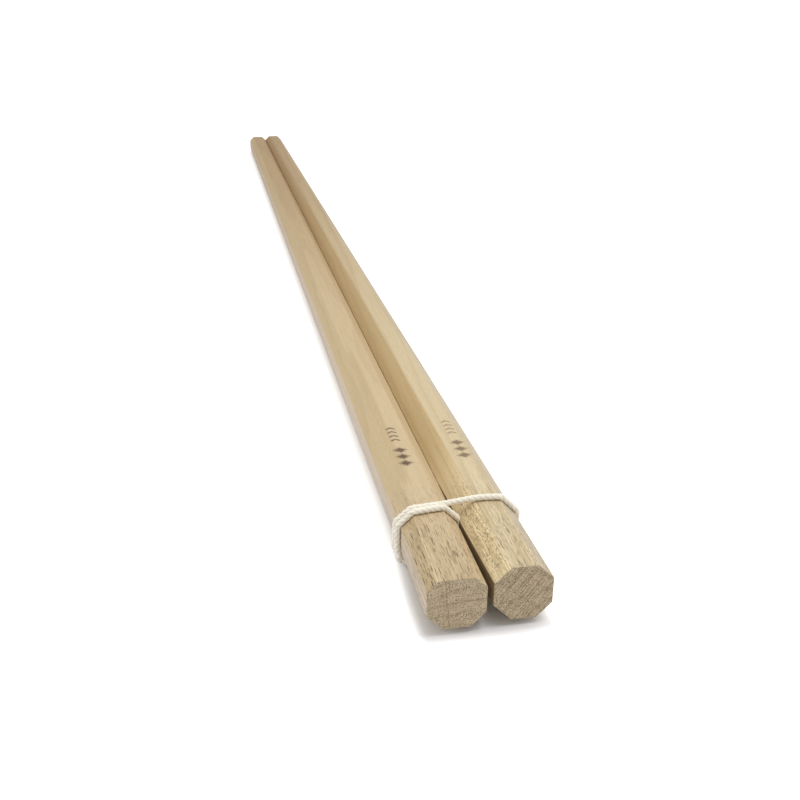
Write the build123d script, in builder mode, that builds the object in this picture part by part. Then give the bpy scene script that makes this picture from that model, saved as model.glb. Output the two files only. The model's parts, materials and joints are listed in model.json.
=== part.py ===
"""A pair of long cooking chopsticks, lying side by side and bound near their butts with cotton twine.

Millimetres. +Z is up, the sticks lie along Y with their butts at the -Y end, and the origin is on
the table under the middle of the pair. Distances along a stick are measured from the left butt.
"""

from build123d import *
from math import radians, tan
import os

# Sticks: each tapers from its butt to its tip, and its four corners are planed off at 45 degrees
stick_length = 330.0
left_butt_width = 10.0
left_butt_height = 9.4
right_butt_width = 10.05
right_butt_height = 10.1
tip_size = 6.2
right_set_back = 0.55
edge_ease = 0.25

# The shoulder is where the corner cuts are widest and where the sticks close up
shoulder_distance = 36.0

# Corner cuts, as legs on the square: upper outer, upper inner, lower inner, lower outer
left_butt_cuts = (1.7, 2.1, 2.5, 2.9)
left_shoulder_cuts = (2.5, 2.6, 2.5, 2.7)
right_butt_cuts = (2.8, 2.7, 3.2, 2.6)
right_shoulder_cuts = (2.4, 3.3, 3.2, 2.6)
tip_cut = 1.4

# Twine binding
twine_diameter = 1.0
twine_clearance = 0.05
twine_sides = 10
corner_margin = 0.85
loose_bend = 1.6
pressed_thickness = 0.55
pressed_width = 1.4
binding_distance = 20.0
tip_gap = 0.1
knot_thickness = 2.1
knot_length = 6.2
knot_crown = 2.4

# Where the twine dives between the sticks, and where it runs back under them
dive_lead = 2.0
under_lag = 1.8
dive_distance = binding_distance - dive_lead
under_distance = binding_distance + under_lag

# The sticks lie on the strands under them, and the strand pressed between them parts their butts
strand_offset = twine_diameter / 2 + twine_clearance
corner_shift = strand_offset * tan(radians(22.5))
butt_lift = (twine_diameter + twine_clearance) / (1 - under_distance / stick_length)
strand_gap = pressed_thickness + 2 * twine_clearance
butt_gap = tip_gap + (strand_gap - tip_gap) / (1 - dive_distance / shoulder_distance)
butt_y = -(stick_length + right_set_back) / 2

left = {
    "side": -1,
    "set_back": 0,
    "butt_width": left_butt_width,
    "butt_height": left_butt_height,
    "butt_cuts": left_butt_cuts,
    "shoulder_cuts": left_shoulder_cuts,
}
right = {
    "side": 1,
    "set_back": right_set_back,
    "butt_width": right_butt_width,
    "butt_height": right_butt_height,
    "butt_cuts": right_butt_cuts,
    "shoulder_cuts": right_shoulder_cuts,
}
corner_names = ("upper outer", "upper inner", "lower inner", "lower outer")


def blend(start, end, share):
    return start + (end - start) * share


def cuts_at(stick, along):
    """The four corner cuts at a length along a stick: they widen to the shoulder, then taper away."""
    if along < shoulder_distance:
        share = along / shoulder_distance
        pairs = zip(stick["butt_cuts"], stick["shoulder_cuts"])
    else:
        share = (along - shoulder_distance) / (stick_length - shoulder_distance)
        pairs = ((cut, tip_cut) for cut in stick["shoulder_cuts"])
    return dict(zip(corner_names, (blend(start, end, share) for start, end in pairs)))


def outline_at(stick, distance):
    """The sides, top, bottom and corner cuts of a stick at a distance from the left butt."""
    along = distance - stick["set_back"]
    share = along / stick_length
    gap = blend(butt_gap, tip_gap, min(along / shoulder_distance, 1))
    reach = blend(butt_gap / 2 + stick["butt_width"], tip_gap / 2 + tip_size, share)
    bottom = blend(butt_lift, 0, share)
    return {
        "inner": stick["side"] * gap / 2,
        "outer": stick["side"] * reach,
        "bottom": bottom,
        "top": bottom + blend(stick["butt_height"], tip_size, share),
        "cuts": cuts_at(stick, along),
    }


def section_of(stick, along):
    """The eight-sided cross-section of a stick at a length along it."""
    distance = stick["set_back"] + along
    shape = outline_at(stick, distance)
    inner, outer, bottom, top = shape["inner"], shape["outer"], shape["bottom"], shape["top"]
    upper_outer, upper_inner, lower_inner, lower_outer = (
        shape["cuts"][name] for name in corner_names
    )
    side = stick["side"]
    with BuildSketch(Plane.XZ.offset(-(butt_y + distance))) as section:
        with BuildLine():
            Polyline(
                (outer, top - upper_outer),
                (outer - side * upper_outer, top),
                (inner + side * upper_inner, top),
                (inner, top - upper_inner),
                (inner, bottom + lower_inner),
                (inner + side * lower_inner, bottom),
                (outer - side * lower_outer, bottom),
                (outer, bottom + lower_outer),
                close=True,
            )
        make_face()
    return section.sketch


def stations_of(stick):
    return [section_of(stick, along) for along in (0, shoulder_distance, stick_length)]


with BuildPart() as left_stick:
    loft(sections=stations_of(left), ruled=True)
    fillet(left_stick.edges(), radius=edge_ease)

with BuildPart() as right_stick:
    loft(sections=stations_of(right), ruled=True)
    fillet(right_stick.edges(), radius=edge_ease)


def strand_place(stick, corner, strands):
    """What a strand passes at one corner of a stick, so many twine diameters beyond the binding's middle.

    The way out sideways, the way up, the stick's side and flat there, its cut and the distance.
    """
    distance = binding_distance + strands * twine_diameter
    shape = outline_at(stick, distance)
    outer, upper = corner.endswith("outer"), corner.startswith("upper")
    out = stick["side"] if outer else -stick["side"]
    edge_x = shape["outer"] if outer else shape["inner"]
    edge_z = shape["top"] if upper else shape["bottom"]
    return out, 1 if upper else -1, edge_x, edge_z, shape["cuts"][corner], butt_y + distance


def round_corner(stick, corner, strands):
    """The square corner that two taut runs aim at, and the arc that takes them over its corner cut."""
    out, up, edge_x, edge_z, cut, y = strand_place(stick, corner, strands)
    point = Vector(edge_x + out * strand_offset, y, edge_z + up * strand_offset)
    return point, cut + corner_margin


def on_flat(stick, corner, strands):
    """A turning point over the top or under the bottom, where a corner cut begins."""
    out, up, edge_x, edge_z, cut, y = strand_place(stick, corner, strands)
    point = Vector(edge_x - out * (cut - corner_shift), y, edge_z + up * strand_offset)
    return point, loose_bend


def on_side(stick, corner, strands):
    """A turning point beside a stick, where a corner cut begins."""
    out, up, edge_x, edge_z, cut, y = strand_place(stick, corner, strands)
    point = Vector(edge_x + out * strand_offset, y, edge_z - up * (cut - corner_shift))
    return point, loose_bend


# The knot lies in the hollow between the table and the left stick's lower outer corner cut
knot_outline = outline_at(left, under_distance)
knot_cut = knot_outline["cuts"]["lower outer"]
knot_reach = (knot_thickness / 2 + twine_clearance) / 2**0.5
knot_centre = Vector(
    knot_outline["outer"] + knot_cut / 2 - knot_reach,
    butt_y + under_distance,
    knot_outline["bottom"] + knot_cut / 2 - knot_reach,
)


def by_knot(x, y, z):
    """A point beside the knot's centre, in twine diameters."""
    return knot_centre + Vector(x, y, z) * twine_diameter, loose_bend


def over_groove(x, strands, z):
    """A point over the groove between the sticks, in twine diameters from the left stick's top."""
    top = outline_at(left, dive_distance)["top"]
    distance = binding_distance + strands * twine_diameter
    return Vector(x * twine_diameter, butt_y + distance, top + z * twine_diameter), loose_bend


def in_gap(corner, lower):
    """A point midway between the sticks, so many twine diameters below where the left corner cut ends."""
    shape = outline_at(left, dive_distance)
    cut = shape["cuts"][corner]
    edge = shape["top"] - cut if corner.startswith("upper") else shape["bottom"] + cut
    return Vector(0, butt_y + dive_distance, edge - lower * twine_diameter), loose_bend


def into_gap():
    """The corner over the groove where the strand turns down, as round as the room below it allows."""
    point, _ = over_groove(0, -dive_lead / twine_diameter, -0.6)
    below, _ = in_gap("upper inner", -0.65)
    return point, (point - below).length


def under_gap():
    """The corner midway between the sticks where the strand turns back under the left stick."""
    shape = outline_at(left, dive_distance)
    point = Vector(0, butt_y + dive_distance, shape["bottom"] - strand_offset)
    return point, shape["cuts"]["lower inner"]


# Round both sticks: up the left side, across both tops, down the right side and back under both
long_turn = [
    by_knot(0, 1.9, 0.1),
    on_side(left, "lower outer", 4.6),
    round_corner(left, "upper outer", 2.9),
    on_flat(right, "upper inner", 2.8),
    round_corner(right, "upper outer", 2.1),
    round_corner(right, "lower outer", under_lag / twine_diameter),
    on_flat(left, "lower outer", under_lag / twine_diameter),
    by_knot(-0.2, 0.3, 0.1),
]

# Round the left stick alone: up its left side, over its top, down between the sticks and back
short_turn_over = [
    by_knot(0, -1.2, 0),
    on_side(left, "lower outer", 0),
    round_corner(left, "upper outer", 0.8),
    on_flat(left, "upper inner", 1.6),
    over_groove(-0.5, 0.4, -0.15),
    into_gap(),
    in_gap("upper inner", -0.65),
]
pressed_run = [in_gap("upper inner", -0.85), in_gap("lower inner", 0.65)]
short_turn_under = [
    in_gap("lower inner", 0.45),
    under_gap(),
    on_flat(left, "lower outer", -1.6),
    by_knot(-0.1, -2, 0),
]

near_tail = [by_knot(-0.1, -2.2, 0.1), by_knot(-1, -3.6, 0.6), by_knot(-1.3, -5.6, 1.6)]
far_tail = [by_knot(-0.1, 2.2, -0.1), by_knot(-0.8, 3.9, -0.6), by_knot(-1.2, 5.6, -1)]

with BuildPart() as binding_twine:
    for turns in (long_turn, short_turn_over, short_turn_under, near_tail, far_tail):
        points, bends = zip(*turns)
        with BuildLine() as route:
            FilletPolyline(*points, radius=bends[1:-1])
        path = route.wire()
        with BuildSketch(Plane(origin=path @ 0, z_dir=path % 0)):
            RegularPolygon(twine_diameter / 2, twine_sides)
        sweep(path=path)
        radii = [round(bend, 2) for bend in bends[1:-1]]
        print("twine run", round(path.length, 1), "mm, radii of its arcs", radii)
    with BuildLine() as route:
        Line(*(point for point, bend in pressed_run))
    path = route.wire()
    with BuildSketch(Plane(origin=path @ 0, x_dir=(1, 0, 0), z_dir=path % 0)):
        Ellipse(pressed_thickness / 2, pressed_width / 2)
    sweep(path=path)
    with BuildSketch(Plane(origin=knot_centre, x_dir=(0, 1, 0))):
        with BuildLine():
            Polyline(
                (-knot_length / 2, 0),
                (-knot_length / 2, twine_diameter / 2),
                (-knot_crown / 2, knot_thickness / 2),
                (knot_crown / 2, knot_thickness / 2),
                (knot_length / 2, twine_diameter / 2),
                (knot_length / 2, 0),
                close=True,
            )
        make_face()
    revolve(axis=Axis(knot_centre, (0, 1, 0)))

os.makedirs("parts", exist_ok=True)
for name, stick in (("left_stick", left_stick), ("right_stick", right_stick)):
    stick.part.label = name
    export_step(stick.part, f"parts/{name}.step")
binding_twine.part.label = "binding_twine"
export_step(binding_twine.part, "parts/binding_twine.step")
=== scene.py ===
import bmesh
import bpy
import json
import random
from math import cos, pi, radians, sin
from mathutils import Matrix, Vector

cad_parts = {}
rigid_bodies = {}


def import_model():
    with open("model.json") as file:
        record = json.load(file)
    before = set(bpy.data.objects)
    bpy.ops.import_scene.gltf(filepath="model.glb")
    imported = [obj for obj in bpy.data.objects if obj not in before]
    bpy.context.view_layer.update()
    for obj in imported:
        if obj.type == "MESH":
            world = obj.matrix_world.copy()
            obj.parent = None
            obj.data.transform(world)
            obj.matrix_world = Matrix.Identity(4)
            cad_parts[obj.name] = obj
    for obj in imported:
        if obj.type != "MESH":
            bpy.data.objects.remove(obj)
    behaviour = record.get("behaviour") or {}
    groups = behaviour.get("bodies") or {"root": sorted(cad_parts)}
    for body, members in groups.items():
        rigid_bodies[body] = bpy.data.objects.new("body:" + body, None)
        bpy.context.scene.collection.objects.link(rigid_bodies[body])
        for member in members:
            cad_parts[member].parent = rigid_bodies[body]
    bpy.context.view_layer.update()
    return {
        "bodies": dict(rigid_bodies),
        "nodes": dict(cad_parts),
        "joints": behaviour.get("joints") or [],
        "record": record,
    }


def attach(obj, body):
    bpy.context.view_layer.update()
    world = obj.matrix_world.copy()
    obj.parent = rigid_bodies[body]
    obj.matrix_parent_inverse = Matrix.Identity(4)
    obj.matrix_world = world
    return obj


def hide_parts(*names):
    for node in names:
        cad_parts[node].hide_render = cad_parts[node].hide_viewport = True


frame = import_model()
mm = 0.001
white = (1, 1, 1)
# The left butt's place along Y, in millimetres
buttPlace = -165.275
print("frame loaded:", sorted(frame["nodes"]))


# Camera and light, as in the photograph: low over the butts, looking along the sticks
studio = {
    "cameraPlace": (-0.048785, -0.314848, 0.114715),
    "cameraTurn": (64.7505, -0.9419, -12.1067),
    "lens": 53.1,
    "sensorWidth": 36,
    "nearest": 0.01,
    "farthest": 20,
    "skyBehind": 0.82,
    "skyInFront": 0.54,
    "lampTarget": (0, -0.14, 0.005),
    "keyPlace": (0.14, -0.14, 0.40),
    "keySize": 0.28,
    "keyPower": 1.0,
    "sidePlace": (-0.58, -0.10, 0.14),
    "sideSize": 0.35,
    "sidePower": 0.75,
}


def placeCamera():
    data = bpy.data.cameras.new("photoCamera")
    data.sensor_width = studio["sensorWidth"]
    data.lens = studio["lens"]
    data.clip_start = studio["nearest"]
    data.clip_end = studio["farthest"]
    camera = bpy.data.objects.new("photoCamera", data)
    camera.location = studio["cameraPlace"]
    camera.rotation_euler = [radians(turn) for turn in studio["cameraTurn"]]
    bpy.context.collection.objects.link(camera)
    bpy.context.scene.camera = camera


def hangLamp(name, place, size, power):
    data = bpy.data.lights.new(name, "AREA")
    data.shape = "SQUARE"
    data.size = size
    data.energy = power
    lamp = bpy.data.objects.new(name, data)
    lamp.location = place
    aim = Vector(studio["lampTarget"]) - Vector(place)
    lamp.rotation_euler = aim.to_track_quat("-Z", "Y").to_euler()
    bpy.context.collection.objects.link(lamp)


# Small helpers for shader trees
def setInput(node, key, value):
    socket = node.inputs[key]
    if isinstance(value, bpy.types.NodeSocket):
        node.id_data.links.new(value, socket)
    elif socket.type == "RGBA":
        socket.default_value = (*value, 1)
    else:
        socket.default_value = value


def maths(tree, operation, first, second=0.0, clamp=False):
    node = tree.nodes.new("ShaderNodeMath")
    node.operation = operation
    node.use_clamp = clamp
    setInput(node, 0, first)
    setInput(node, 1, second)
    return node.outputs["Value"]


def times(tree, first, *others):
    for other in others:
        first = maths(tree, "MULTIPLY", first, other)
    return first


def plus(tree, first, *others, clamp=False):
    for place, other in enumerate(others):
        atEnd = place == len(others) - 1
        first = maths(tree, "ADD", first, other, clamp=clamp and atEnd)
    return first


def minus(tree, first, second):
    return maths(tree, "SUBTRACT", first, second)


def magnitude(tree, value):
    return maths(tree, "ABSOLUTE", value)


def centred(tree, value, amount):
    return times(tree, minus(tree, value, 0.5), amount)


def ramp(tree, value, low, high, toLow=0.0, toHigh=1.0, smooth=True):
    node = tree.nodes.new("ShaderNodeMapRange")
    node.interpolation_type = "SMOOTHSTEP" if smooth else "LINEAR"
    setInput(node, "Value", value)
    setInput(node, "From Min", low)
    setInput(node, "From Max", high)
    setInput(node, "To Min", toLow)
    setInput(node, "To Max", toHigh)
    return node.outputs["Result"]


def mixColour(tree, share, first, second, blend="MIX"):
    node = tree.nodes.new("ShaderNodeMix")
    node.data_type = "RGBA"
    node.blend_type = blend
    # inputs 6 and 7 are its two colours, and output 2 is the mixed one
    setInput(node, 0, share)
    setInput(node, 6, first)
    setInput(node, 7, second)
    return node.outputs[2]


def joinXyz(tree, x, y, z):
    node = tree.nodes.new("ShaderNodeCombineXYZ")
    setInput(node, 0, x)
    setInput(node, 1, y)
    setInput(node, 2, z)
    return node.outputs["Vector"]


def splitXyz(tree, vector):
    node = tree.nodes.new("ShaderNodeSeparateXYZ")
    setInput(node, 0, vector)
    return node.outputs["X"], node.outputs["Y"], node.outputs["Z"]


def stretched(tree, place, scales):
    return joinXyz(tree, *(times(tree, along, scale) for along, scale in zip(place, scales)))


def noise(tree, vector, scale=1.0, detail=1.0, roughness=0.5):
    node = tree.nodes.new("ShaderNodeTexNoise")
    setInput(node, "Vector", vector)
    setInput(node, "Scale", scale)
    setInput(node, "Detail", detail)
    setInput(node, "Roughness", roughness)
    return node.outputs["Fac"]


def cells(tree, vector):
    node = tree.nodes.new("ShaderNodeTexVoronoi")
    setInput(node, "Vector", vector)
    setInput(node, "Scale", 1.0)
    setInput(node, "Randomness", 1.0)
    return node.outputs["Distance"], node.outputs["Color"]


def newGroup(name, inputs, outputs):
    group = bpy.data.node_groups.new(name, "ShaderNodeTree")
    for label, kind in inputs:
        group.interface.new_socket(label, in_out="INPUT", socket_type="NodeSocket" + kind)
    for label, kind in outputs:
        group.interface.new_socket(label, in_out="OUTPUT", socket_type="NodeSocket" + kind)
    return group, group.nodes.new("NodeGroupInput").outputs, group.nodes.new("NodeGroupOutput")


def placeGroup(tree, group, inputs):
    node = tree.nodes.new("ShaderNodeGroup")
    node.node_tree = group
    for label, value in inputs.items():
        setInput(node, label, value)
    return node.outputs


def makeSky():
    # a room that is brighter behind the sticks than on the camera's side
    world = bpy.data.worlds.new("paleRoom")
    world.use_nodes = True
    tree = world.node_tree
    tree.nodes.clear()
    output = tree.nodes.new("ShaderNodeOutputWorld")
    where = tree.nodes.new("ShaderNodeTexCoord")
    y = splitXyz(tree, where.outputs["Generated"])[1]
    light = tree.nodes.new("ShaderNodeBackground")
    setInput(light, "Color", white)
    setInput(light, "Strength", ramp(tree, y, -1, 1, studio["skyInFront"], studio["skyBehind"], smooth=False))
    seen = tree.nodes.new("ShaderNodeBackground")
    setInput(seen, "Color", white)
    setInput(seen, "Strength", 1)
    path = tree.nodes.new("ShaderNodeLightPath")
    mix = tree.nodes.new("ShaderNodeMixShader")
    setInput(mix, "Fac", path.outputs["Is Camera Ray"])
    setInput(mix, 1, light.outputs["Background"])
    setInput(mix, 2, seen.outputs["Background"])
    setInput(output, "Surface", mix.outputs["Shader"])
    bpy.context.scene.world = world


# The sheet under the pair. Its glow makes it white to the camera, and is low under the sticks and
# close beside them, so that the lamps' shadow stays there. The glow's reach also sets how wide and how
# deep that shadow reads, widest at the butts and narrower at the sides, so it is partly painted shadow.
# Under the sticks, where the floor is seen between the butts, there is no glow: painted shade.
sheet = {
    "half": 3.0,
    "white": (0.86, 0.86, 0.87),
    "roughness": 0.9,
    "gloss": 0.1,
    "pairHalfLength": 0.165,
    "pairHalfWidths": (0.0100, 0.0060),
    "glowFar": 0.51,
    "glowAtButts": 0.04,
    "glowAlongside": 0.34,
    "glowEase": (-0.160, -0.125),
    "shadowAtButts": 0.0040,
    "shadowAlongside": 0.0016,
    "shadowEase": (-0.160, -0.135),
    "shadowNarrowing": 1.6,
    "underEase": (-0.0008, 0.0),
}


def sheetGlow(tree):
    where = tree.nodes.new("ShaderNodeTexCoord")
    x, y, _ = splitXyz(tree, where.outputs["Object"])
    halfLength = sheet["pairHalfLength"]
    halfWidth = ramp(tree, y, -halfLength, halfLength, *sheet["pairHalfWidths"], smooth=False)
    contact = ramp(tree, y, *sheet["glowEase"], sheet["glowAtButts"], sheet["glowAlongside"])
    shadow = ramp(tree, y, *sheet["shadowEase"], sheet["shadowAtButts"], sheet["shadowAlongside"])
    aside = minus(tree, magnitude(tree, x), halfWidth)
    ahead = minus(tree, magnitude(tree, y), halfLength)
    besides = times(tree, maths(tree, "MAXIMUM", aside, 0.0), sheet["shadowNarrowing"])
    beyond = tree.nodes.new("ShaderNodeVectorMath")
    beyond.operation = "LENGTH"
    setInput(beyond, 0, joinXyz(tree, besides, maths(tree, "MAXIMUM", ahead, 0.0), 0.0))
    inside = maths(tree, "MINIMUM", maths(tree, "MAXIMUM", aside, ahead), 0.0)
    away = plus(tree, beyond.outputs["Value"], inside)
    # no glow under the sticks, so the floor seen between the butts is painted shade; at their edge only the
    # low contact glow, rising further out, which sets the painted part of their shadow
    atEdge = times(tree, ramp(tree, away, *sheet["underEase"]), contact)
    rest = times(tree, ramp(tree, away, 0.0, shadow), minus(tree, sheet["glowFar"], contact))
    path = tree.nodes.new("ShaderNodeLightPath")
    return times(tree, plus(tree, atEdge, rest), path.outputs["Is Camera Ray"])


def layFloor():
    mesh = bpy.data.meshes.new("paleFloor")
    half = sheet["half"]
    corners = [(-half, -half, 0), (half, -half, 0), (half, half, 0), (-half, half, 0)]
    mesh.from_pydata(corners, [], [(0, 1, 2, 3)])
    floor = bpy.data.objects.new("paleFloor", mesh)
    bpy.context.collection.objects.link(floor)
    material = bpy.data.materials.new("whiteSweep")
    material.use_nodes = True
    tree = material.node_tree
    shader = tree.nodes["Principled BSDF"]
    setInput(shader, "Base Color", sheet["white"])
    setInput(shader, "Roughness", sheet["roughness"])
    setInput(shader, "Specular IOR Level", sheet["gloss"])
    setInput(shader, "Emission Color", white)
    setInput(shader, "Emission Strength", sheetGlow(tree))
    mesh.materials.append(material)


placeCamera()
makeSky()
layFloor()
hangLamp("keyLamp", studio["keyPlace"], studio["keySize"], studio["keyPower"])
hangLamp("sideLamp", studio["sidePlace"], studio["sideSize"], studio["sidePower"])
bpy.context.scene.view_settings.view_transform = "Standard"
print("camera, lamps and floor placed")


# Beech as a solid texture: growth rings, rays standing across them, fibres and pores. Places are
# in millimetres with the grain along Y, so that the butts show the same rings as the sides.
# A scale tells how often a pattern repeats in a millimetre: along the rings, along the grain and
# across the rings, or along X, Y and Z. A tone tells how far a pattern darkens the wood.
beech = {
    "sway": {"scale": (0.11, 0.012, 0.11)},
    "swayDepth": 5.0,
    "lateWoodStart": (0.45, 0.93),
    "lateWoodEnd": (1.0, 0.94),
    "lateWoodTone": 0.42,
    "ringSeed": 3.7,
    "ringTone": 0.55,
    "longRays": {"scale": (4.4, 0.26, 0.8), "size": 0.44, "edge": 0.08},
    "shortRays": {"scale": (6.8, 0.54, 1.4), "size": 0.56, "edge": 0.12},
    "shortRayShare": 0.7,
    "sideRayShare": 0.4,
    "rayShare": 0.85,
    "rayDent": 0.6,
    "fibre": {"scale": (3.4, 0.11, 3.4), "detail": 3.0, "roughness": 0.6},
    "fibreTone": 0.6,
    "fibreHeight": 0.5,
    "fibreGloss": (0.2, 0.8, 0.46, 0.60),
    "bands": {"scale": (0.6, 0.02, 0.6)},
    "bandTone": 0.5,
    "lines": {"scale": (8.5, 0.09, 4.0)},
    "lineEdge": (0.47, 0.56),
    "lineTone": 0.9,
    "pores": {"scale": (7.0, 0.9, 7.0)},
    "poreEdge": (0.62, 0.74),
    "poreShare": 0.4,
    "poreDent": 0.8,
    "speckles": {"scale": (4.4, 2.0, 4.4), "size": 0.84, "edge": 0.26},
    "speckleDent": 0.5,
    "weakest": 0.5,
    "tone": 0.22,
    "tipsOutside": 0.4,
}

# How far outward, upward or endways a face looks where a facet's look begins and where it is full
facing = {
    "innerSide": (-0.90, -0.99),
    "innerCut": (-0.25, -0.5),
    "edgeStart": (0.06, 0.2),
    "edgeEnd": (0.66, 0.5),
    "cutStart": (0.25, 0.5),
    "cutEnd": (0.97, 0.88),
    "outerSide": (0.88, 0.97),
    "outer": (0.3, 0.6),
    "upper": (0.2, 0.5),
    "top": (0.9, 0.98),
    "butt": (0.6, 0.9),
}

# Where a look begins and where it is full, along Y or up Z, and the look's shares there if not 0 and 1
reach = {
    "strongGrain": (-150, -128, 1.0, 0.15),
    "grainAtButt": (-158, -146, 0.35, 0.0),
    "evenWood": (-146, -112, 0.0, 0.5),
    "speckles": (-128, -140),
    "specklesAtButt": (-166, -160),
    "speckleHeight": (7.4, 9.2),
    # the outer side's painted reflection: about a third as strong high on the side, full low down
    "sideReflectionHeight": (8.8, 5.8, 0.35, 1.0),
    # the painted highlight on the eased outer edge: full near the butt, faint further on
    "edgeHighlightReach": (-125, -148, 0.1, 1.0),
    # painted shade on the inner cut, growing away from the butts
    "innerCutShadeReach": (-154, -112),
    # darkening toward the tips: partly the wood's tone, partly painted shade where the light falls off
    "towardTip": (-125, 150),
    "taper": (-165, 165, 1.0, 0.62),
}


def grained(tree, place, pattern):
    # smooth noise, stretched along the grain
    vector = stretched(tree, place, pattern["scale"])
    return noise(tree, vector, 1.0, pattern.get("detail", 1.0), pattern.get("roughness", 0.5))


def lenses(tree, place, pattern):
    # long thin cells of different sizes, each with a strength of its own
    far, tint = cells(tree, stretched(tree, place, pattern["scale"]))
    pick, strength, _ = splitXyz(tree, tint)
    radius = times(tree, pick, pattern["size"])
    mask = ramp(tree, far, radius, minus(tree, radius, pattern["edge"]))
    return times(tree, mask, ramp(tree, strength, 0.0, 1.0, beech["weakest"], 1.0, smooth=False))


def shiftedPlace(tree, given):
    # each stick is cut from its own part of the wood
    shift = tree.nodes.new("ShaderNodeVectorMath")
    shift.operation = "ADD"
    setInput(shift, 0, given["Place"])
    setInput(shift, 1, given["Shift"])
    return splitXyz(tree, shift.outputs["Vector"])


def ringAxes(tree, given, place):
    # the way along the rings and the way across them, a little wavy
    x, _, z = place
    sway = centred(tree, grained(tree, place, beech["sway"]), beech["swayDepth"])
    turnCos = maths(tree, "COSINE", given["Ring Turn"])
    turnSin = maths(tree, "SINE", given["Ring Turn"])
    along = plus(tree, times(tree, x, turnCos), times(tree, z, turnSin))
    across = plus(tree, minus(tree, times(tree, z, turnCos), times(tree, x, turnSin)), sway)
    ringPlace = maths(tree, "DIVIDE", across, given["Ring Width"])
    ringShare = maths(tree, "FRACT", ringPlace)
    lateWood = ramp(tree, ringShare, *beech["lateWoodStart"])
    lateWood = times(tree, lateWood, ramp(tree, ringShare, *beech["lateWoodEnd"]))
    ring = joinXyz(tree, maths(tree, "FLOOR", ringPlace), 0.0, beech["ringSeed"])
    return along, across, lateWood, noise(tree, ring, detail=0.0)


def grainShares(tree, given):
    # the grain is strongest near the butts, where dark pores also crowd the top of the inner cut
    _, y, z = splitXyz(tree, given["Place"])
    facingX = splitXyz(tree, given["Facing"])[0]
    strong = plus(tree, ramp(tree, y, *reach["strongGrain"]), ramp(tree, y, *reach["grainAtButt"]))
    rays = ramp(tree, given["On Inner Cut"], 0.0, 1.0, given["Rays"], given["Inner Cut Rays"])
    onSide = ramp(tree, magnitude(tree, facingX), *facing["outerSide"], 1.0, beech["sideRayShare"])
    crowded = times(tree, ramp(tree, z, *reach["speckleHeight"]), ramp(tree, y, *reach["speckles"]))
    crowded = times(tree, crowded, given["On Inner Cut"], ramp(tree, y, *reach["specklesAtButt"]))
    return {
        "rays": times(tree, rays, onSide, strong),
        "lines": times(tree, strong, given["Lines"]),
        "speckles": times(tree, crowded, given["Speckles"]),
        "even": ramp(tree, y, *reach["evenWood"]),
    }


def makeBeechGrain():
    tree, given, out = newGroup(
        "beechGrain",
        [
            ("Place", "Vector"),
            ("Facing", "Vector"),
            ("On Inner Cut", "Float"),
            ("Shift", "Vector"),
            ("Ring Turn", "Float"),
            ("Ring Width", "Float"),
            ("Rays", "Float"),
            ("Inner Cut Rays", "Float"),
            ("Lines", "Float"),
            ("Speckles", "Float"),
            ("Pale Wood", "Color"),
            ("Dark Wood", "Color"),
            ("Even Wood", "Color"),
            ("Ray Brown", "Color"),
        ],
        [("Color", "Color"), ("Roughness", "Float"), ("Height", "Float")],
    )
    shares = grainShares(tree, given)
    place = shiftedPlace(tree, given)
    along, across, lateWood, ringTone = ringAxes(tree, given, place)
    ringed = (along, place[1], across)
    shortRays = times(tree, lenses(tree, ringed, beech["shortRays"]), beech["shortRayShare"])
    rays = maths(tree, "MAXIMUM", lenses(tree, ringed, beech["longRays"]), shortRays)
    rays = times(tree, rays, shares["rays"])
    fibre = grained(tree, place, beech["fibre"])
    lines = ramp(tree, grained(tree, ringed, beech["lines"]), *beech["lineEdge"])
    lines = times(tree, lines, shares["lines"])
    pores = ramp(tree, grained(tree, place, beech["pores"]), *beech["poreEdge"])
    pores = times(tree, pores, beech["poreShare"])
    speckles = times(tree, lenses(tree, place, beech["speckles"]), shares["speckles"])
    tone = plus(
        tree,
        times(tree, lateWood, beech["lateWoodTone"]),
        centred(tree, ringTone, beech["ringTone"]),
        centred(tree, fibre, beech["fibreTone"]),
        centred(tree, grained(tree, place, beech["bands"]), beech["bandTone"]),
        times(tree, lines, beech["lineTone"]),
        beech["tone"],
        clamp=True,
    )
    wood = mixColour(tree, tone, given["Pale Wood"], given["Dark Wood"])
    flecks = maths(tree, "MAXIMUM", pores, times(tree, rays, beech["rayShare"]))
    for brown in (flecks, speckles):
        wood = mixColour(tree, brown, wood, given["Ray Brown"])
    dents = plus(
        tree,
        times(tree, rays, beech["rayDent"]),
        times(tree, pores, beech["poreDent"]),
        times(tree, plus(tree, lines, speckles), beech["speckleDent"]),
    )
    setInput(out, "Color", mixColour(tree, shares["even"], wood, given["Even Wood"]))
    setInput(out, "Roughness", ramp(tree, fibre, *beech["fibreGloss"]))
    setInput(out, "Height", minus(tree, times(tree, fibre, beech["fibreHeight"]), dents))
    return tree


# Sawn end grain: open pores as dots in rows along the rings, crossed by the rays as fine lines
sawnEnd = {
    "dotScale": (4.6, 1.0, 5.2),
    "dotEdge": (0.50, 0.18),
    "dotPick": (0.15, 0.6),
    "dotTone": 1.4,
    "saw": {"scale": (6.0, 1.0, 6.0), "detail": 2.0, "roughness": 0.7},
    "sawTone": 2.9,
    "rayLines": {"scale": (4.3, 1.0, 0.18)},
    "rayLineEdge": (0.44, 0.60),
    "rowLines": {"scale": (0.24, 1.0, 2.6)},
    "rowLineEdge": (0.42, 0.62),
    "lateWoodTone": 0.16,
    "tone": 0.05,
    "depth": -1.4,
    "crackWobbleScale": 0.9,
    "crackWobbleDetail": 2.0,
    "crackWobble": 0.4,
    "crackEase": 0.3,
}


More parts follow.
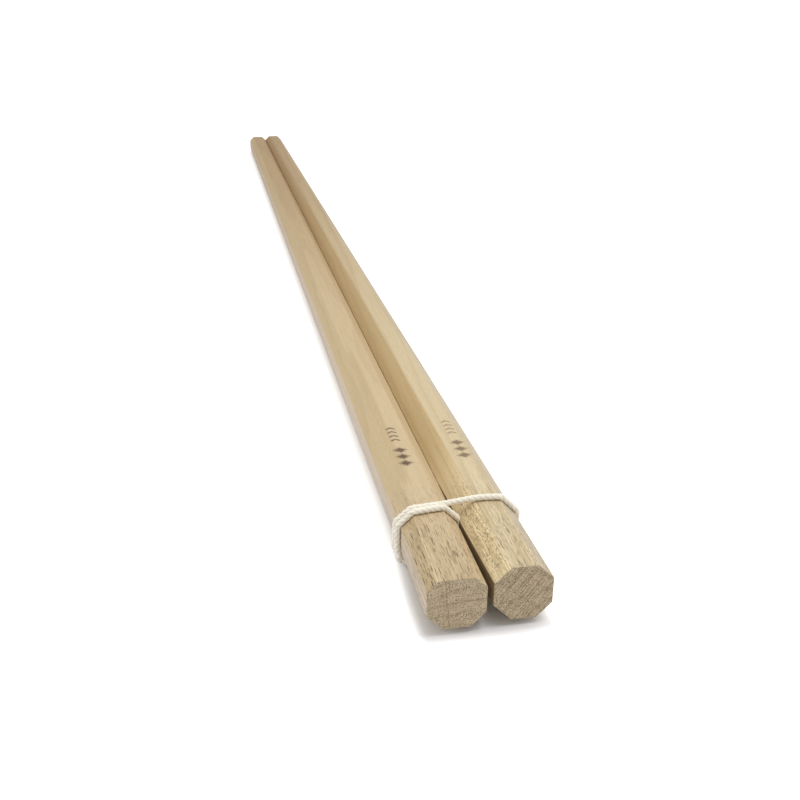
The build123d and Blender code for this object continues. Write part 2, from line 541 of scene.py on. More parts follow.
def makeSawnBeech():
    tree, given, out = newGroup(
        "sawnBeech",
        [
            ("Place", "Vector"),
            ("Shift", "Vector"),
            ("Ring Turn", "Float"),
            ("Ring Width", "Float"),
            ("Ray Lines", "Float"),
            ("Row Lines", "Float"),
            ("Pale Wood", "Color"),
            ("Dark Wood", "Color"),
        ],
        [("Color", "Color"), ("Height", "Float")],
    )
    along, across, lateWood, _ = ringAxes(tree, given, shiftedPlace(tree, given))
    ringed = (along, 0.0, across)
    far, tint = cells(tree, stretched(tree, ringed, sawnEnd["dotScale"]))
    picked = ramp(tree, splitXyz(tree, tint)[0], *sawnEnd["dotPick"])
    dots = times(tree, ramp(tree, far, *sawnEnd["dotEdge"]), picked)
    rayLines = ramp(tree, grained(tree, ringed, sawnEnd["rayLines"]), *sawnEnd["rayLineEdge"])
    rowLines = ramp(tree, grained(tree, ringed, sawnEnd["rowLines"]), *sawnEnd["rowLineEdge"])
    tone = plus(
        tree,
        times(tree, dots, sawnEnd["dotTone"]),
        centred(tree, grained(tree, ringed, sawnEnd["saw"]), sawnEnd["sawTone"]),
        times(tree, rayLines, given["Ray Lines"]),
        times(tree, rowLines, given["Row Lines"]),
        times(tree, lateWood, sawnEnd["lateWoodTone"]),
        sawnEnd["tone"],
        clamp=True,
    )
    setInput(out, "Color", mixColour(tree, tone, given["Pale Wood"], given["Dark Wood"]))
    setInput(out, "Height", times(tree, tone, sawnEnd["depth"]))
    return tree


def makeButtCrack():
    # a thin, nearly straight line over the butt, from a place on it along a run of length 1
    tree, given, out = newGroup(
        "buttCrack",
        [
            ("Place", "Vector"),
            ("Start X", "Float"),
            ("Start Z", "Float"),
            ("Run X", "Float"),
            ("Run Z", "Float"),
            ("Half Width", "Float"),
            ("Strength", "Float"),
        ],
        [("Crack", "Float")],
    )
    x, _, z = splitXyz(tree, given["Place"])
    aside = times(tree, minus(tree, x, given["Start X"]), given["Run Z"])
    aside = minus(tree, aside, times(tree, minus(tree, z, given["Start Z"]), given["Run X"]))
    flatPlace = joinXyz(tree, x, 0.0, z)
    wobble = noise(tree, flatPlace, sawnEnd["crackWobbleScale"], sawnEnd["crackWobbleDetail"])
    aside = magnitude(tree, plus(tree, aside, centred(tree, wobble, sawnEnd["crackWobble"])))
    full = times(tree, given["Half Width"], sawnEnd["crackEase"])
    line = ramp(tree, aside, given["Half Width"], full)
    setInput(out, "Crack", times(tree, line, given["Strength"]))
    return tree


def makeFacetTintsAndPaintedLight():
    # each planed facet is tinted by the way it faces. The inner side's dark tint is painted shade in the
    # gap between the sticks. The left stick's pale blue outer side and the right stick's bluish outer cut are
    # a painted reflection of the white room. Near the butt, the eased outer edge of the top is a painted
    # highlight. The wood darkens toward the tips, less on the outer facets: partly the wood's tone and partly
    # painted shade where the light falls off. The inner cut darkens away from the butts as painted shade
    # where it faces the other stick
    tree, given, out = newGroup(
        "facetTintsAndPaintedLight",
        [
            ("Place", "Vector"),
            ("Facing", "Vector"),
            ("Side", "Float"),
            ("Inner Side Shade", "Color"),
            ("Outer Side Reflection", "Color"),
            ("Outer Cut", "Color"),
            ("Inner Cut", "Color"),
            ("Outer Edge Highlight", "Color"),
            ("Tips Tone And Shade", "Color"),
            ("Inner Cut Far Shade", "Color"),
        ],
        [("Tint", "Color"), ("On Inner Cut", "Float")],
    )
    _, y, z = splitXyz(tree, given["Place"])
    facingX, _, facingZ = splitXyz(tree, given["Facing"])
    outward = times(tree, facingX, given["Side"])
    upper = ramp(tree, facingZ, *facing["upper"])
    side = ramp(tree, outward, *facing["outerSide"])
    cut = times(tree, ramp(tree, outward, *facing["cutStart"]), ramp(tree, outward, *facing["cutEnd"]))
    edge = times(tree, ramp(tree, outward, *facing["edgeStart"]), ramp(tree, outward, *facing["edgeEnd"]))
    innerCut = times(tree, ramp(tree, outward, *facing["innerCut"]), upper)
    masks = {
        # the inner side faces the other stick: its dark tint is painted shade in the gap between the sticks
        "Inner Side Shade": ramp(tree, outward, *facing["innerSide"]),
        # the outer side's tint is a painted reflection of the white room, fuller low on the side
        "Outer Side Reflection": times(tree, side, ramp(tree, z, *reach["sideReflectionHeight"])),
        # the outer cut's tint; on the right stick its bluish tint is a painted reflection of the white room
        "Outer Cut": times(tree, cut, upper),
        "Inner Cut": innerCut,
        # the eased edge between the outer cut and the top is lighter: a painted highlight
        "Outer Edge Highlight": times(tree, edge, ramp(tree, y, *reach["edgeHighlightReach"])),
    }
    tint = white
    for facet, mask in masks.items():
        tint = mixColour(tree, mask, tint, given[facet])
    outer = ramp(tree, outward, *facing["outer"])
    towardTip = ramp(tree, y, *reach["towardTip"])
    shades = {
        # toward the tips: partly the wood's tone, partly painted shade where the light falls off
        "Tips Tone And Shade": times(tree, towardTip, ramp(tree, outer, 0.0, 1.0, 1.0, beech["tipsOutside"])),
        # the inner cut darkens away from the butts: painted shade where it faces the other stick
        "Inner Cut Far Shade": times(tree, innerCut, ramp(tree, y, *reach["innerCutShadeReach"])),
    }
    for label, mask in shades.items():
        tint = mixColour(tree, 1.0, tint, mixColour(tree, mask, white, given[label]), "MULTIPLY")
    setInput(out, "Tint", tint)
    setInput(out, "On Inner Cut", innerCut)
    return tree


def makeToneStrip():
    # a darker strip along one edge of the top. The sticks taper, so its soft edge is given as places
    # across the butt, and its ends as distances from the butt
    tree, given, out = newGroup(
        "toneStrip",
        [
            ("Place", "Vector"),
            ("Facing", "Vector"),
            ("Edge Begins", "Float"),
            ("Edge Full", "Float"),
            ("Start Begins", "Float"),
            ("Start Full", "Float"),
            ("End Full", "Float"),
            ("End Gone", "Float"),
            ("Tone", "Color"),
        ],
        [("Tint", "Color")],
    )
    x, y, _ = splitXyz(tree, given["Place"])
    facingZ = splitXyz(tree, given["Facing"])[2]
    across = maths(tree, "DIVIDE", x, ramp(tree, y, *reach["taper"], smooth=False))
    across = ramp(tree, across, given["Edge Begins"], given["Edge Full"])
    distance = minus(tree, y, buttPlace)
    start = ramp(tree, distance, given["Start Begins"], given["Start Full"])
    end = ramp(tree, distance, given["End Gone"], given["End Full"])
    mask = times(tree, across, times(tree, start, end), ramp(tree, facingZ, *facing["top"]))
    setInput(out, "Tint", mixColour(tree, mask, white, given["Tone"]))
    return tree


# A plain burnt ornament on the top facet: three lozenges and four chevrons, in millimetres
ornament = {
    "lozengeStep": 2.7,
    "lozengeRun": 8.1,
    "lozengeSlope": 0.85,
    "lozengeEdge": (1.60, 0.55),
    "chevronStart": 10.6,
    "chevronStep": 1.7,
    "chevronRun": 6.8,
    "chevronSlope": 0.7,
    "chevronEdge": (0.31, 0.03),
    "chevronHalfWidth": (1.0, 0.8),
    "raggedScale": 3.4,
    "raggedDetail": 3.0,
    "raggedRoughness": 0.7,
    "raggedDepth": 2.1,
    "chevronRagged": 0.22,
}


def between(tree, value, limit):
    return times(tree, maths(tree, "GREATER_THAN", value, 0.0), maths(tree, "LESS_THAN", value, limit))


def repeated(tree, value, step, amount):
    # the place within one step of a row, counted from the step's middle
    return centred(tree, maths(tree, "FRACT", maths(tree, "DIVIDE", value, step)), amount)


def makeBurntOrnament():
    tree, given, out = newGroup(
        "burntOrnament",
        [
            ("Place", "Vector"),
            ("Facing", "Vector"),
            ("Middle", "Float"),
            ("Start", "Float"),
            ("Strength", "Float"),
            ("Chevron Strength", "Float"),
        ],
        [("Burn", "Float")],
    )
    x, y, _ = splitXyz(tree, given["Place"])
    onTop = ramp(tree, splitXyz(tree, given["Facing"])[2], *facing["top"])
    aside = magnitude(tree, minus(tree, x, given["Middle"]))
    ahead = minus(tree, y, given["Start"])
    ragged = noise(
        tree,
        given["Place"],
        ornament["raggedScale"],
        ornament["raggedDetail"],
        ornament["raggedRoughness"],
    )
    ragged = centred(tree, ragged, ornament["raggedDepth"])
    fromMiddle = magnitude(tree, repeated(tree, ahead, ornament["lozengeStep"], ornament["lozengeStep"]))
    lozenge = plus(tree, times(tree, aside, ornament["lozengeSlope"]), fromMiddle, ragged)
    lozenge = ramp(tree, lozenge, *ornament["lozengeEdge"])
    lozenges = times(tree, lozenge, between(tree, ahead, ornament["lozengeRun"]))
    slope = times(tree, aside, ornament["chevronSlope"])
    rise = plus(tree, minus(tree, ahead, ornament["chevronStart"]), slope)
    stripe = magnitude(tree, repeated(tree, rise, ornament["chevronStep"], 1.0))
    stripe = plus(tree, stripe, times(tree, ragged, ornament["chevronRagged"]))
    stripe = ramp(tree, stripe, *ornament["chevronEdge"])
    inRun = between(tree, rise, ornament["chevronRun"])
    inWidth = ramp(tree, aside, *ornament["chevronHalfWidth"])
    chevrons = times(tree, stripe, inRun, inWidth, given["Chevron Strength"])
    burn = plus(tree, lozenges, chevrons, clamp=True)
    setInput(out, "Burn", times(tree, burn, onTop, given["Strength"]))
    return tree


beechGrain = makeBeechGrain()
sawnBeech = makeSawnBeech()
buttCrack = makeButtCrack()
facetTintsAndPaintedLight = makeFacetTintsAndPaintedLight()
toneStrip = makeToneStrip()
burntOrnament = makeBurntOrnament()

# Each stick's values for the groups. A crack on a butt has the places across and up at its two ends,
# its half width and its strength.
leftStick = {
    "cutFrom": {"Shift": (3.1, 41.0, 0.4), "Ring Turn": radians(8), "Ring Width": 2.3},
    "grain": {
        "Rays": 1.0,
        "Inner Cut Rays": 1.0,
        "Lines": 0.35,
        "Speckles": 0.0,
        "Pale Wood": (0.635, 0.50, 0.315),
        "Dark Wood": (0.455, 0.34, 0.19),
        "Even Wood": (0.567, 0.437, 0.252),
        "Ray Brown": (0.13, 0.08, 0.042),
    },
    "facets": {
        "Side": -1,
        # painted shade in the gap between the sticks
        "Inner Side Shade": (0.60, 0.55, 0.50),
        # pale blue: painted reflection of the white room
        "Outer Side Reflection": (1.06, 1.12, 1.42),
        "Outer Cut": (0.96, 0.95, 0.90),
        "Inner Cut": (1.05, 1.04, 1.04),
        # painted highlight
        "Outer Edge Highlight": (1.22, 1.20, 1.18),
        # partly the wood's tone, partly painted shade toward the tips
        "Tips Tone And Shade": (0.755, 0.66, 0.525),
        # painted shade on the inner cut, slight on this stick
        "Inner Cut Far Shade": (0.98, 0.98, 0.98),
    },
    "strip": {
        "Edge Begins": -5.5,
        "Edge Full": -6.6,
        "Start Begins": 30,
        "Start Full": 35,
        "End Full": 84,
        "End Gone": 106,
        "Tone": (0.87, 0.84, 0.79),
    },
    "sawn": {
        "Ray Lines": 0.12,
        "Row Lines": 0.16,
        "Pale Wood": (0.64, 0.515, 0.345),
        "Dark Wood": (0.21, 0.15, 0.085),
    },
    "cracks": [
        ((-10.4, 5.75), (-0.6, 6.47), 0.14, 0.40),
        ((-7.69, 10.5), (-6.67, 1.12), 0.10, 0.60),
    ],
    "mark": {"Middle": -5.2, "Start": -126.6, "Strength": 0.95, "Chevron Strength": 0.85},
    "burntBrown": (0.105, 0.056, 0.026),
}
rightStick = {
    "cutFrom": {"Shift": (17.4, -12.0, 6.3), "Ring Turn": radians(-35), "Ring Width": 1.9},
    "grain": {
        "Rays": 0.85,
        "Inner Cut Rays": 0.0,
        "Lines": 0.9,
        "Speckles": 0.8,
        "Pale Wood": (0.70, 0.58, 0.38),
        "Dark Wood": (0.50, 0.395, 0.23),
        "Even Wood": (0.55, 0.435, 0.255),
        "Ray Brown": (0.17, 0.11, 0.06),
    },
    "facets": {
        "Side": 1,
        # painted shade in the gap between the sticks
        "Inner Side Shade": (0.60, 0.55, 0.50),
        "Outer Side Reflection": (1.0, 1.0, 1.0),
        # bluish: painted reflection of the white room
        "Outer Cut": (0.92, 0.95, 1.06),
        "Inner Cut": (1.23, 1.23, 1.18),
        # painted highlight
        "Outer Edge Highlight": (1.08, 1.08, 1.08),
        # partly the wood's tone, partly painted shade toward the tips
        "Tips Tone And Shade": (0.73, 0.63, 0.515),
        # painted shade on the inner cut where it faces the other stick
        "Inner Cut Far Shade": (0.72, 0.65, 0.53),
    },
    "strip": {
        "Edge Begins": 4.0,
        "Edge Full": 3.4,
        "Start Begins": 10,
        "Start Full": 18,
        "End Full": 360,
        "End Gone": 420,
        "Tone": (0.86, 0.82, 0.75),
    },
    "sawn": {
        "Ray Lines": 0.46,
        "Row Lines": 0.05,
        "Pale Wood": (0.64, 0.515, 0.345),
        "Dark Wood": (0.21, 0.15, 0.085),
    },
    "cracks": [((1.0, 4.6), (11.0, 6.6), 0.12, 0.25)],
    "mark": {"Middle": 6.05, "Start": -126.6, "Strength": 0.90, "Chevron Strength": 0.70},
    "burntBrown": (0.18, 0.112, 0.056),
}
finish = {
    "sawnRoughness": 0.22,
    "gloss": 0.35,
    "burntDepth": 1.5,
    "bump": 0.6,
    "bumpDepth": 0.05,
}


def crackedButt(tree, place, colour, look):
    for (startX, startZ), (endX, endZ), halfWidth, strength in look["cracks"]:
        run = Vector((endX - startX, endZ - startZ)).normalized()
        inputs = {
            "Place": place,
            "Start X": startX,
            "Start Z": startZ,
            "Run X": run.x,
            "Run Z": run.y,
            "Half Width": halfWidth,
            "Strength": strength,
        }
        crack = placeGroup(tree, buttCrack, inputs)
        colour = mixColour(tree, crack["Crack"], colour, look["sawn"]["Dark Wood"])
    return colour


def makeStickWood(name, look):
    material = bpy.data.materials.new(name)
    material.use_nodes = True
    tree = material.node_tree
    shader = tree.nodes["Principled BSDF"]
    where = tree.nodes.new("ShaderNodeTexCoord")
    inMm = tree.nodes.new("ShaderNodeVectorMath")
    inMm.operation = "SCALE"
    setInput(inMm, 0, where.outputs["Object"])
    setInput(inMm, "Scale", 1 / mm)
    place = inMm.outputs["Vector"]
    surface = {"Place": place, "Facing": where.outputs["Normal"]}

    facets = placeGroup(tree, facetTintsAndPaintedLight, {**surface, **look["facets"]})
    onInnerCut = {"On Inner Cut": facets["On Inner Cut"]}
    grain = placeGroup(tree, beechGrain, {**surface, **onInnerCut, **look["cutFrom"], **look["grain"]})
    strip = placeGroup(tree, toneStrip, {**surface, **look["strip"]})
    wood = grain["Color"]
    for tint in (facets["Tint"], strip["Tint"]):
        wood = mixColour(tree, 1.0, wood, tint, "MULTIPLY")
    burn = placeGroup(tree, burntOrnament, {**surface, **look["mark"]})["Burn"]
    wood = mixColour(tree, burn, wood, look["burntBrown"])
    sawn = placeGroup(tree, sawnBeech, {"Place": place, **look["cutFrom"], **look["sawn"]})
    sawnColour = crackedButt(tree, place, sawn["Color"], look)

    facingY = splitXyz(tree, where.outputs["Normal"])[1]
    butt = ramp(tree, magnitude(tree, facingY), *facing["butt"])
    setInput(shader, "Base Color", mixColour(tree, butt, wood, sawnColour))
    roughness = plus(tree, grain["Roughness"], times(tree, butt, finish["sawnRoughness"]))
    setInput(shader, "Roughness", roughness)
    setInput(shader, "Specular IOR Level", finish["gloss"])
    planedHeight = minus(tree, grain["Height"], times(tree, burn, finish["burntDepth"]))
    planedHeight = times(tree, planedHeight, minus(tree, 1.0, butt))
    bump = tree.nodes.new("ShaderNodeBump")
    setInput(bump, "Strength", finish["bump"])
    setInput(bump, "Distance", finish["bumpDepth"] * mm)
    setInput(bump, "Height", plus(tree, times(tree, sawn["Height"], butt), planedHeight))
    setInput(shader, "Normal", bump.outputs["Normal"])
    return material


def dressNode(name, material):
    for slot in frame["nodes"][name].material_slots:
        slot.material = material


dressNode("left_stick", makeStickWood("leftBeech", leftStick))
dressNode("right_stick", makeStickWood("rightBeech", rightStick))
print("sticks dressed in beech")


# Cotton twine: three plies laid round a smooth line that follows the binding's route.
# Places are in millimetres: across, from the left butt, and up. Lengths are in millimetres too.
twine = {
    "thickness": 1.14,
    "plies": 3,
    "plySides": 12,
    "plyShare": 0.66,
    "pitch": 3.1,
    "step": 0.12,
    "lineSteps": 24,
    # it is pressed thinner where it lies low under the sticks, and is round again a little higher
    "pressedShare": 0.87,
    "pressedUpTo": (0.52, 1.22),
    # between the sticks it is flat: over this width, as deep as this, and thinner as the gap narrows
    "gapReach": 1.0,
    "gapTop": (8.4, 7.9),
    "gapBottom": (2.3, 3.2),
    "gapWidth": 1.2,
    "gapEnd": 38.5,
    "gapRoom": 0.08,
    "flattest": 0.2,
    # its cut ends come loose
    "looseLength": 1.5,
    "looseShare": 0.6,
    # how far each length's plies are turned at its start
    "turnLays": (0.0, 1.1),
    "knotLay": 0.5,
    "endLays": (0.2, 0.9),
}

# The knot, as a small coil in the hollow under the left stick
knot = {
    "middle": (-9.80, 22.0, 1.62),
    "turns": 2.4,
    "reach": 0.70,
    "length": 2.3,
    "startAngle": 0.6,
    "pointsPerTurn": 8,
}

# Stray fibres along the twine: how far out they start, how much they stand off and lean along it,
# and how far they sag. None starts or ends lower than the last two values.
fuzz = {
    "seed": 7,
    "count": 900,
    "thickness": 0.022,
    "sides": 3,
    "points": 5,
    "thinning": 0.6,
    "lengths": (0.35, 1.1),
    "startOut": 0.45,
    "outward": (0.25, 0.8),
    "lean": (0.5, 1.2),
    "sag": 0.35,
    "lowestTip": 0.05,
    "lowestStart": 0.1,
}

# The frayed ends: the longest fibres of each, the shares of that length, and how far they splay
fray = {
    "count": 46,
    "thickness": 0.045,
    "longest": (0.5, 1.9),
    "shares": (0.4, 1.0),
    "reach": (0, 0.45),
    "tucked": 0.4,
    "splay": (0.0, 0.55),
    "sag": 0.3,
}

# Up the left side, over both sticks, down the right side and back under both
bothSticksTurn = [
    (-9.75, 22.9, 1.70),
    (-10.45, 22.9, 2.70),
    (-10.90, 22.75, 3.90),
    (-10.91, 22.60, 5.60),
    (-10.91, 22.48, 7.30),
    (-10.91, 22.42, 8.25),
    (-10.22, 22.36, 8.97),
    (-9.02, 22.24, 10.14),
    (-8.31, 22.18, 10.85),
    (-7.30, 22.22, 10.86),
    (-5.40, 22.42, 10.84),
    (-3.30, 22.60, 10.83),
    (-1.60, 22.65, 10.92),
    (0.90, 22.65, 11.20),
    (2.60, 22.60, 11.42),
    (3.60, 22.60, 11.49),
    (5.40, 22.55, 11.49),
    (7.00, 22.40, 11.49),
    (8.05, 22.20, 11.46),
    (8.76, 22.00, 10.77),
    (10.15, 21.85, 9.38),
    (10.87, 21.80, 8.64),
    (10.89, 21.80, 7.50),
    (10.90, 21.80, 4.40),
    (10.90, 21.80, 3.45),
    (10.20, 21.80, 2.72),
    (8.70, 21.80, 1.22),
    (7.99, 21.80, 0.52),
    (6.90, 21.80, 0.52),
    (-6.80, 21.80, 0.52),
    (-7.80, 21.82, 0.54),
    (-8.70, 21.90, 1.10),
    (-9.50, 22.10, 1.55),
]

# Up the left side beside it, over the left stick alone, down between the sticks and back
leftStickTurn = [
    (-9.75, 21.3, 1.70),
    (-10.45, 20.9, 2.70),
    (-10.86, 20.9, 3.90),
    (-10.87, 20.95, 5.60),
    (-10.87, 20.98, 7.30),
    (-10.87, 21.00, 8.25),
    (-10.20, 20.95, 8.95),
    (-9.00, 20.92, 10.12),
    (-8.31, 20.95, 10.81),
    (-7.20, 21.05, 10.82),
    (-5.60, 21.30, 10.82),
    (-4.00, 21.48, 10.83),
    (-2.55, 21.55, 10.80),
    (-1.75, 21.70, 10.05),
    (-0.80, 21.60, 9.15),
    (-0.08, 21.45, 8.50),
    (0.00, 21.45, 7.60),
    (0.00, 21.35, 6.50),
    (0.00, 20.20, 5.80),
    (0.00, 18.30, 5.20),
    (0.00, 17.90, 4.20),
    (0.00, 17.90, 3.00),
    (-0.60, 17.90, 2.00),
    (-1.70, 17.90, 0.95),
    (-2.82, 17.90, 0.55),
    (-3.90, 18.00, 0.54),
    (-5.60, 18.20, 0.52),
    (-7.20, 19.10, 0.54),
    (-8.60, 20.30, 1.00),
    (-9.60, 21.20, 1.50),
]

# The two short ends that stick out of the knot, tucked into the hollow under the left stick
nearEnd = [(-9.80, 21.5, 1.55), (-9.60, 21.1, 1.35), (-9.25, 20.8, 1.10), (-8.85, 20.6, 0.85)]
farEnd = [(-9.75, 22.9, 1.62), (-9.85, 23.9, 1.45), (-9.95, 25.0, 1.10), (-10.05, 26.4, 0.75)]


def makeLine(points):
    # a smooth line read from a NURBS spline with the route's points as its control points
    curve = bpy.data.curves.new("twineLine", "CURVE")
    curve.dimensions = "3D"
    spline = curve.splines.new("NURBS")
    spline.points.add(len(points) - 1)
    for point, place in zip(spline.points, points):
        point.co = (*(Vector(place) * mm), 1)
    spline.order_u = 3
    spline.use_endpoint_u = True
    spline.resolution_u = twine["lineSteps"]
    holder = bpy.data.objects.new("twineLine", curve)
    mesh = bpy.data.meshes.new_from_object(holder)
    line = [vertex.co.copy() for vertex in mesh.vertices]
    bpy.data.objects.remove(holder)
    bpy.data.meshes.remove(mesh)
    bpy.data.curves.remove(curve)
    return line


def evenLine(line, step):
    # the same smooth line read at even steps, so that the plies wind evenly
    lengths = [0.0]
    for start, end in zip(line, line[1:]):
        lengths.append(lengths[-1] + (end - start).length)
    count = max(2, round(lengths[-1] / step))
    even, place = [], 0
    for index in range(count + 1):
        target = lengths[-1] * index / count
        while place < len(line) - 2 and lengths[place + 1] < target:
            place += 1
        run = lengths[place + 1] - lengths[place]
        share = (target - lengths[place]) / run if run else 0.0
        even.append(line[place].lerp(line[place + 1], share))
    return even


def lineFrames(line):
    # a direction and two steady cross directions at each point
    ahead = []
    for index in range(len(line)):
        before, after = line[max(index - 1, 0)], line[min(index + 1, len(line) - 1)]
        ahead.append((after - before).normalized())
    across = ahead[0].orthogonal().normalized()
    frames = []
    for direction in ahead:
        across = (across - direction * across.dot(direction)).normalized()
        frames.append((direction, across, direction.cross(across)))
    return frames


def sideways(frame, angle):
    _, across, over = frame
    return across * cos(angle) + over * sin(angle)


def addTube(mesh, uvLayer, places, radii, sides, lengthStep):
    rings = []
    for place, frame, radius in zip(places, lineFrames(places), radii):
        angles = [2 * pi * side / sides for side in range(sides)]
        rings.append([mesh.verts.new(place + sideways(frame, angle) * radius) for angle in angles])
    for index, (ring, following) in enumerate(zip(rings, rings[1:])):
        for side in range(sides):
            nextSide = (side + 1) % sides
            face = mesh.faces.new((ring[side], ring[nextSide], following[nextSide], following[side]))
            face.smooth = True
            corners = ((side, index), (side + 1, index), (side + 1, index + 1), (side, index + 1))
            for loop, (turn, length) in zip(face.loops, corners):
                loop[uvLayer].uv = (turn / sides, length * lengthStep / mm)
    mesh.faces.new(list(reversed(rings[0])))
    mesh.faces.new(rings[-1])


def shareOf(value, start, end):
    # how far a value is on its way from start to end, from 0 to 1
    return min(1.0, max(0.0, (value - start) / (end - start)))


def squeezeAt(place):
    # the thickness that is left of a strand pressed under the sticks
    pressed = twine["pressedShare"]
    return pressed + (1 - pressed) * shareOf(place.z / mm, *twine["pressedUpTo"])


def flattenInGap(mesh):
    # between the sticks the strand is as flat as the gap, which narrows away from the butts
    for vertex in mesh.verts:
        x, z = vertex.co.x / mm, vertex.co.z / mm
        if abs(x) > twine["gapReach"]:
            continue
        share = shareOf(z, *twine["gapTop"]) * shareOf(z, *twine["gapBottom"])
        gap = twine["gapWidth"] * (1 - (vertex.co.y / mm - buttPlace) / twine["gapEnd"])
        flat = max(twine["flattest"], gap - twine["gapRoom"]) / twine["thickness"]
        vertex.co.x *= 1 - share * (1 - flat)


def layPlies(mesh, uvLayer, points, lay, loose=0.0):
    # the plies of one length of twine, and the line that they wind round
    line = evenLine(makeLine(points), twine["step"] * mm)
    frames = lineFrames(line)
    step = (line[1] - line[0]).length
    plyRadius = twine["thickness"] * mm / 2 * twine["plyShare"]
    layRadius = twine["thickness"] * mm / 2 - plyRadius
    for ply in range(twine["plies"]):
        places, radii = [], []
        for index, (place, frame) in enumerate(zip(line, frames)):
            angle = lay + 2 * pi * (ply / twine["plies"] + index * step / (twine["pitch"] * mm))
            pressed = squeezeAt(place)
            fromEnd = (len(line) - 1 - index) * step
            loosen = 1 + loose * max(0.0, 1 - fromEnd / (twine["looseLength"] * mm))
            places.append(place + sideways(frame, angle) * layRadius * pressed * loosen)
            radii.append(plyRadius * pressed)
        addTube(mesh, uvLayer, places, radii, twine["plySides"], step)
    return line, frames


def inWorld(points):
    # distances from the left butt become places along Y
    return [Vector((x, buttPlace + y, z)) for x, y, z in points]


def knotPoints():
    x, y, z = knot["middle"]
    count = round(knot["turns"] * knot["pointsPerTurn"])
    points = []
    for index in range(count + 1):
        share = index / count
        angle = knot["startAngle"] + 2 * pi * knot["turns"] * share
        along = (share - 0.5) * knot["length"]
        points.append((x + knot["reach"] * cos(angle), y + along, z + knot["reach"] * sin(angle)))
    return points


def makePiece(name, mesh):
    data = bpy.data.meshes.new(name)
    mesh.to_mesh(data)
    mesh.free()
    piece = bpy.data.objects.new(name, data)
    bpy.context.collection.objects.link(piece)
    return piece


def tieTwine():
    mesh = bmesh.new()
    uvLayer = mesh.loops.layers.uv.new("alongPly")
    lines = []
    for turn, lay in zip((bothSticksTurn, leftStickTurn), twine["turnLays"]):
        lines.append(layPlies(mesh, uvLayer, inWorld(turn), lay))
    lines.append(layPlies(mesh, uvLayer, inWorld(knotPoints()), twine["knotLay"]))
    for end, lay in zip((nearEnd, farEnd), twine["endLays"]):
        lines.append(layPlies(mesh, uvLayer, inWorld(end), lay, twine["looseShare"]))
    flattenInGap(mesh)
    return makePiece("twine_turns", mesh), lines


def addFibre(mesh, uvLayer, start, direction, bend, length, thickness):
    places, radii = [], []
    last = fuzz["points"] - 1
    for index in range(fuzz["points"]):
        share = index / last
        places.append(start + direction * length * share + bend * length * share * share)
        radii.append(thickness * (1 - fuzz["thinning"] * share) / 2)
    addTube(mesh, uvLayer, places, radii, fuzz["sides"], length / last)


def anyBend(chance, amount):
    return Vector([chance.uniform(-amount, amount) for _ in range(3)])


def growStrays(mesh, uvLayer, lines, chance):
    weights = [len(line) for line, frames in lines]
    for _ in range(fuzz["count"]):
        line, frames = chance.choices(lines, weights)[0]
        index = chance.randrange(len(line))
        outward = sideways(frames[index], chance.uniform(0, 2 * pi))
        start = line[index] + outward * fuzz["startOut"] * mm
        lean = frames[index][0] * chance.choice((-1, 1)) * chance.uniform(*fuzz["lean"])
        heading = (outward * chance.uniform(*fuzz["outward"]) + lean).normalized()
        sag = anyBend(chance, fuzz["sag"])
        length = chance.uniform(*fuzz["lengths"]) * mm
        tip = start + heading * length + sag * length
        if tip.z < fuzz["lowestTip"] * mm or start.z < fuzz["lowestStart"] * mm:
            continue
        addFibre(mesh, uvLayer, start, heading, sag, length, fuzz["thickness"] * mm)


def frayEnd(mesh, uvLayer, end, frame, longest, chance):
    direction = frame[0]
    for _ in range(fray["count"]):
        angle, out = chance.uniform(0, 2 * pi), chance.uniform(*fray["reach"]) * mm
        outward = sideways(frame, angle)
        start = end - direction * fray["tucked"] * mm + outward * out
        heading = (direction + outward * chance.uniform(*fray["splay"])).normalized()
        sag = anyBend(chance, fray["sag"])
        length = chance.uniform(*fray["shares"]) * longest * mm
        if (start + (heading + sag) * length).z < fuzz["lowestTip"] * mm:
            continue
        addFibre(mesh, uvLayer, start, heading, sag, length, fray["thickness"] * mm)


def growFuzz(lines):
    # short stray fibres that stand off the twine, and the frayed ends of its tails
    chance = random.Random(fuzz["seed"])
    mesh = bmesh.new()
    uvLayer = mesh.loops.layers.uv.new("alongPly")
    growStrays(mesh, uvLayer, lines, chance)
    for (line, frames), longest in zip(lines[-2:], fray["longest"]):
        frayEnd(mesh, uvLayer, line[-1], frames[-1], longest, chance)
    return makePiece("twine_fuzz", mesh)


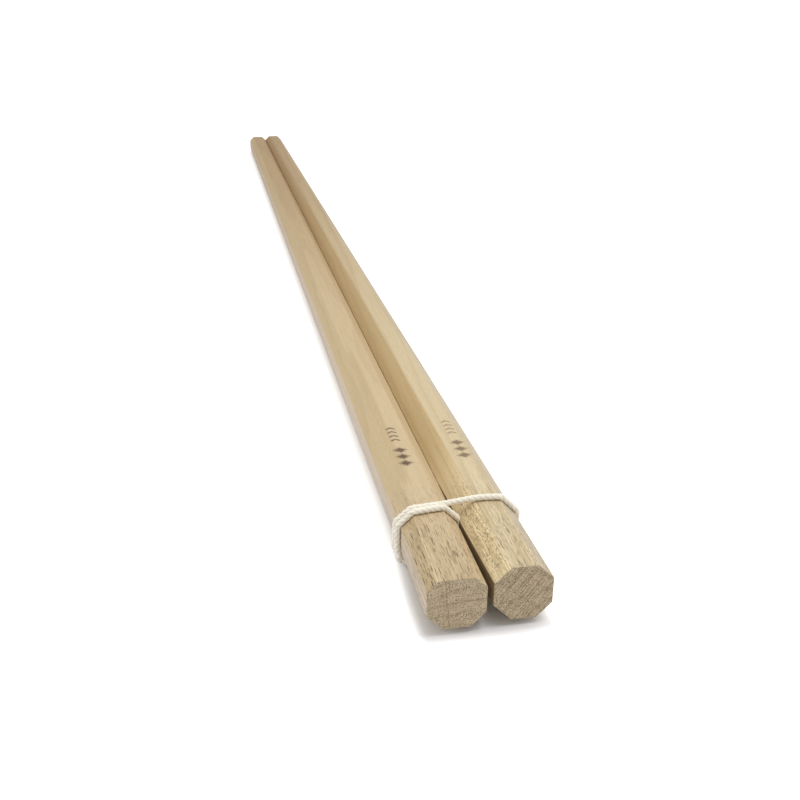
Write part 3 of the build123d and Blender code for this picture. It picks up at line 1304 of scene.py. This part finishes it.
cotton = {
    "pale": (0.95, 0.89, 0.76),
    "shade": (0.86, 0.79, 0.64),
    # yarn fibres wind round each ply the other way from the lay
    "windBack": 0.55,
    "fibres": {"scale": (2.6, 0.9, 2.6), "detail": 4.0, "roughness": 0.65},
    "fibreShade": (0.35, 0.68, 0.0, 0.5),
    "patchScale": 420.0,
    "patchDetail": 2.0,
    "patchShade": (0.4, 0.7, 0.0, 0.25),
    "bump": 0.8,
    "bumpDepth": 0.04,
    "shader": {
        "Roughness": 0.85,
        "Specular IOR Level": 0.2,
        "Subsurface Weight": 0.35,
        "Subsurface Radius": (0.45, 0.43, 0.38),
        "Subsurface Scale": 0.8 * mm,
        "Sheen Weight": 0.3,
        "Sheen Roughness": 0.5,
    },
}


def makeCotton():
    material = bpy.data.materials.new("cottonTwine")
    material.use_nodes = True
    tree = material.node_tree
    shader = tree.nodes["Principled BSDF"]
    for label, value in cotton["shader"].items():
        setInput(shader, label, value)
    where = tree.nodes.new("ShaderNodeTexCoord")
    turn, length, _ = splitXyz(tree, where.outputs["UV"])
    wound = plus(tree, turn, times(tree, length, cotton["windBack"]))
    angle = times(tree, wound, 2 * pi)
    ring = (maths(tree, "COSINE", angle), length, maths(tree, "SINE", angle))
    fibres = grained(tree, ring, cotton["fibres"])
    patches = noise(tree, where.outputs["Object"], cotton["patchScale"], cotton["patchDetail"])
    tone = plus(tree, ramp(tree, fibres, *cotton["fibreShade"]), ramp(tree, patches, *cotton["patchShade"]))
    setInput(shader, "Base Color", mixColour(tree, tone, cotton["pale"], cotton["shade"]))
    bump = tree.nodes.new("ShaderNodeBump")
    setInput(bump, "Strength", cotton["bump"])
    setInput(bump, "Distance", cotton["bumpDepth"] * mm)
    setInput(bump, "Height", fibres)
    setInput(shader, "Normal", bump.outputs["Normal"])
    return material


twineTurns, twineLines = tieTwine()
twineFuzz = growFuzz(twineLines)
cottonTwine = makeCotton()
for piece in (twineTurns, twineFuzz):
    piece.data.materials.append(cottonTwine)
    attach(piece, "root")
    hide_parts("binding_twine")
    print(piece.name, len(piece.data.polygons), "faces")
print("twine tied")
